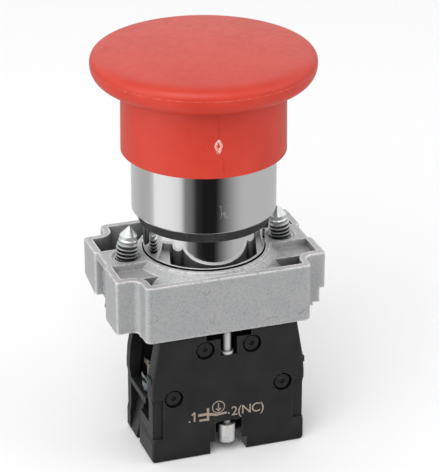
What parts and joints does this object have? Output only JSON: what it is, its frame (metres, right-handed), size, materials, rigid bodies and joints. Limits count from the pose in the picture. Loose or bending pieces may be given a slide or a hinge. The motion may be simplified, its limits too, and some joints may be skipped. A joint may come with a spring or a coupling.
{
  "type": "mushroom push button",
  "caption": "Red mushroom push button with a chromed bezel, a cast fixing collar with pointed clamp screws and one normally-closed contact block, for a 22 mm panel hole.",
  "frame": {"origin": "where the button's axis crosses the panel's outer face, which is the underside of the gasket", "axes": "+Z along the button's axis towards the mushroom cap; -Y towards the contact block's front face; +X to the right seen from that front"},
  "size_m": [0.04, 0.04, 0.074],
  "materials": {
    "red_moulding": "semi-gloss red plastic",
    "chrome_casting": "bright chrome plate",
    "zinc_casting": "matte zinc die casting",
    "plated_steel": "zinc plated steel",
    "spring_steel": "drawn spring wire",
    "black_moulding": "fine matte black plastic",
    "white_moulding": "natural white plastic",
    "black_rubber": "moulded black rubber",
    "contact_brass": "rolled brass strip",
    "contact_silver": "silver alloy contact tip"
  },
  "bodies": {
    "collar_and_block": {"fixing_collar": "zinc_casting", "block_cover": "black_moulding", "block_case": "black_moulding", "fixed_contact_left": "contact_brass", "fixed_contact_right": "contact_brass", "fixed_tips": "contact_silver", "terminal_clamp_left": "plated_steel", "terminal_clamp_right": "plated_steel", "plunger_spring": "spring_steel"},
    "head": {"bezel_body": "chrome_casting", "guide_bush": "white_moulding", "stem_seal": "black_rubber", "panel_gasket": "black_rubber", "return_spring": "spring_steel"},
    "cap": {"mushroom_cap": "red_moulding", "push_stem": "black_moulding"},
    "contacts": {"contact_plunger": "red_moulding", "contact_bridge": "contact_brass", "bridge_tips": "contact_silver", "contact_spring": "spring_steel"},
    "left_clamp": {"clamp_screw_left": "plated_steel"},
    "right_clamp": {"clamp_screw_right": "plated_steel"},
    "fixing_screw": {"block_fixing_screw": "plated_steel", "screw_retaining_ring": "plated_steel"},
    "left_terminal": {"terminal_screw_left": "plated_steel"},
    "right_terminal": {"terminal_screw_right": "plated_steel"}
  },
  "joints": [
    {"name": "head_release", "type": "slide", "parent": "collar_and_block", "child": "head", "axis": [0, 0, 1], "range_m": [0, 0.04]},
    {"name": "press", "type": "slide", "parent": "head", "child": "cap", "axis": [0, 0, -1], "range_m": [0, 0.0043], "stiffness_N_per_m": 900, "springref_m": -0.006, "deforming": ["return_spring"]},
    {"name": "contact_travel", "type": "slide", "parent": "collar_and_block", "child": "contacts", "axis": [0, 0, -1], "range_m": [0, 0.0043], "stiffness_N_per_m": 150, "springref_m": -0.002, "deforming": ["plunger_spring"]},
    {"name": "clamp_screw_left_turn", "type": "hinge", "parent": "collar_and_block", "child": "left_clamp", "pos_m": [-0.01402, 0, -0.0001], "axis": [0.1132, 0, 0.9936], "continuous": true},
    {"name": "clamp_screw_right_turn", "type": "hinge", "parent": "collar_and_block", "child": "right_clamp", "pos_m": [0.01402, 0, -0.0001], "axis": [-0.1132, 0, 0.9936], "continuous": true},
    {"name": "fixing_screw_turn", "type": "hinge", "parent": "collar_and_block", "child": "fixing_screw", "pos_m": [0, -0.0125, -0.037], "axis": [0, 0, 1], "continuous": true},
    {"name": "terminal_screw_left_turn", "type": "hinge", "parent": "collar_and_block", "child": "left_terminal", "pos_m": [-0.0114, -0.0062, -0.028], "axis": [0, 0, 1], "continuous": true},
    {"name": "terminal_screw_right_turn", "type": "hinge", "parent": "collar_and_block", "child": "right_terminal", "pos_m": [0.0114, -0.0062, -0.028], "axis": [0, 0, 1], "continuous": true}
  ],
  "couplings": [
    {"joint": "contact_travel", "follows": "press", "ratio": 1}
  ]
}
